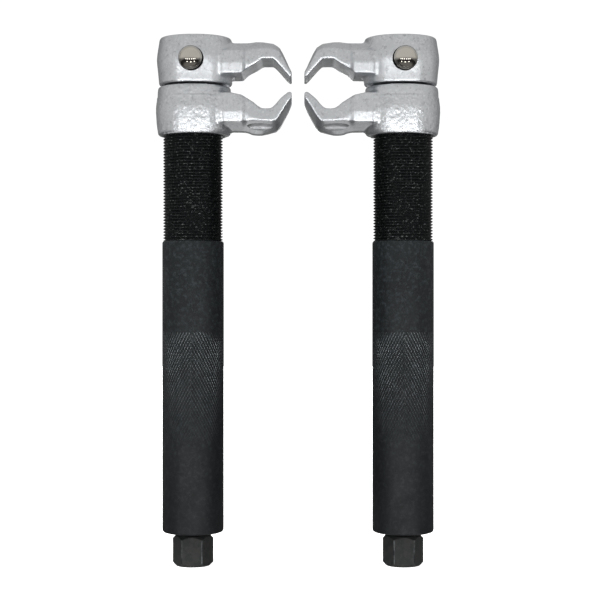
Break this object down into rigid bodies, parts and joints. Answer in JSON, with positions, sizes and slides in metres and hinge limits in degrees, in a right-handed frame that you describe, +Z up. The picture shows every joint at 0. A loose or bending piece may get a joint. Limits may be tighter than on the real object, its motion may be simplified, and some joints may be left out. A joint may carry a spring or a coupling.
{
  "type": "coil spring compressor",
  "caption": "Coil spring compressors: black threaded barrels with a drive hex below, a keyed sliding rod inside, and silver forged V hooks that clamp a suspension coil.",
  "frame": {"origin": "midway between the two tools, on the floor plane under their drive hexes", "axes": "+Z up along the barrels, +X from the left tool to the right one, -Y towards the lock balls"},
  "size_m": [0.1904, 0.0542, 0.3534],
  "materials": {
    "forged_steel": "shot-blasted satin zinc plate",
    "black_oxide": "matte black oxide",
    "ground_steel": "ground",
    "chrome": "polished",
    "bronze": "machined",
    "spring_steel": "oiled",
    "rubber": "matte"
  },
  "bodies": {
    "left_barrel": {"left_barrel": "black_oxide", "left_guide_bush": "bronze", "left_rod_wiper": "rubber", "left_guide_screw": "spring_steel", "left_screw_circlip": "spring_steel", "left_end_washer": "ground_steel", "left_race_upper": "ground_steel", "left_ball_cage": "bronze"},
    "left_drive_screw": {"left_drive_screw": "black_oxide", "left_race_lower": "ground_steel", "left_stop_washer": "ground_steel", "left_stop_screw": "spring_steel"},
    "left_slide_rod": {"left_slide_rod": "ground_steel", "left_rod_nut": "bronze", "left_nut_pin": "spring_steel", "left_upper_jaw": "forged_steel", "left_jaw_nut": "black_oxide", "left_ball_spring": "spring_steel"},
    "left_lower_jaw": {"left_lower_jaw": "forged_steel"},
    "left_lock_ball": {"left_lock_ball": "chrome"},
    "right_barrel": {"right_barrel": "black_oxide", "right_guide_bush": "bronze", "right_rod_wiper": "rubber", "right_guide_screw": "spring_steel", "right_screw_circlip": "spring_steel", "right_end_washer": "ground_steel", "right_race_upper": "ground_steel", "right_ball_cage": "bronze"},
    "right_drive_screw": {"right_drive_screw": "black_oxide", "right_race_lower": "ground_steel", "right_stop_washer": "ground_steel", "right_stop_screw": "spring_steel"},
    "right_slide_rod": {"right_slide_rod": "ground_steel", "right_rod_nut": "bronze", "right_nut_pin": "spring_steel", "right_upper_jaw": "forged_steel", "right_jaw_nut": "black_oxide", "right_ball_spring": "spring_steel"},
    "right_lower_jaw": {"right_lower_jaw": "forged_steel"},
    "right_lock_ball": {"right_lock_ball": "chrome"}
  },
  "joints": [
    {"name": "left_rod_slide", "type": "slide", "parent": "left_barrel", "child": "left_slide_rod", "axis": [0, 0, 1], "range_m": [0, 0.12]},
    {"name": "left_drive_spin", "type": "hinge", "parent": "left_barrel", "child": "left_drive_screw", "pos_m": [-0.0706, 0.00255, 0], "axis": [0, 0, 1], "range_deg": [-10800, 0]},
    {"name": "left_lower_jaw_travel", "type": "slide", "parent": "left_barrel", "child": "left_lower_jaw", "axis": [0, 0, 1], "range_m": [-0.07, 0]},
    {"name": "left_lock_ball_press", "type": "slide", "parent": "left_slide_rod", "child": "left_lock_ball", "axis": [0, 1, 0], "range_m": [0, 0.0157], "stiffness_N_per_m": 400, "springref_m": -0.004},
    {"name": "right_rod_slide", "type": "slide", "parent": "right_barrel", "child": "right_slide_rod", "axis": [0, 0, 1], "range_m": [0, 0.12]},
    {"name": "right_drive_spin", "type": "hinge", "parent": "right_barrel", "child": "right_drive_screw", "pos_m": [0.0706, 0.00255, 0], "axis": [0, 0, 1], "range_deg": [-10800, 0]},
    {"name": "right_lower_jaw_travel", "type": "slide", "parent": "right_barrel", "child": "right_lower_jaw", "axis": [0, 0, 1], "range_m": [-0.07, 0]},
    {"name": "right_lock_ball_press", "type": "slide", "parent": "right_slide_rod", "child": "right_lock_ball", "axis": [0, 1, 0], "range_m": [0, 0.0157], "stiffness_N_per_m": 400, "springref_m": -0.004},
    {"name": "pair_spacing", "type": "slide", "parent": "left_barrel", "child": "right_barrel", "axis": [1, 0, 0], "range_m": [0, 0.12]}
  ],
  "couplings": [
    {"joint": "left_drive_spin", "follows": "left_rod_slide", "rad_per_m": -1570.8},
    {"joint": "right_drive_spin", "follows": "right_rod_slide", "rad_per_m": -1570.8}
  ]
}
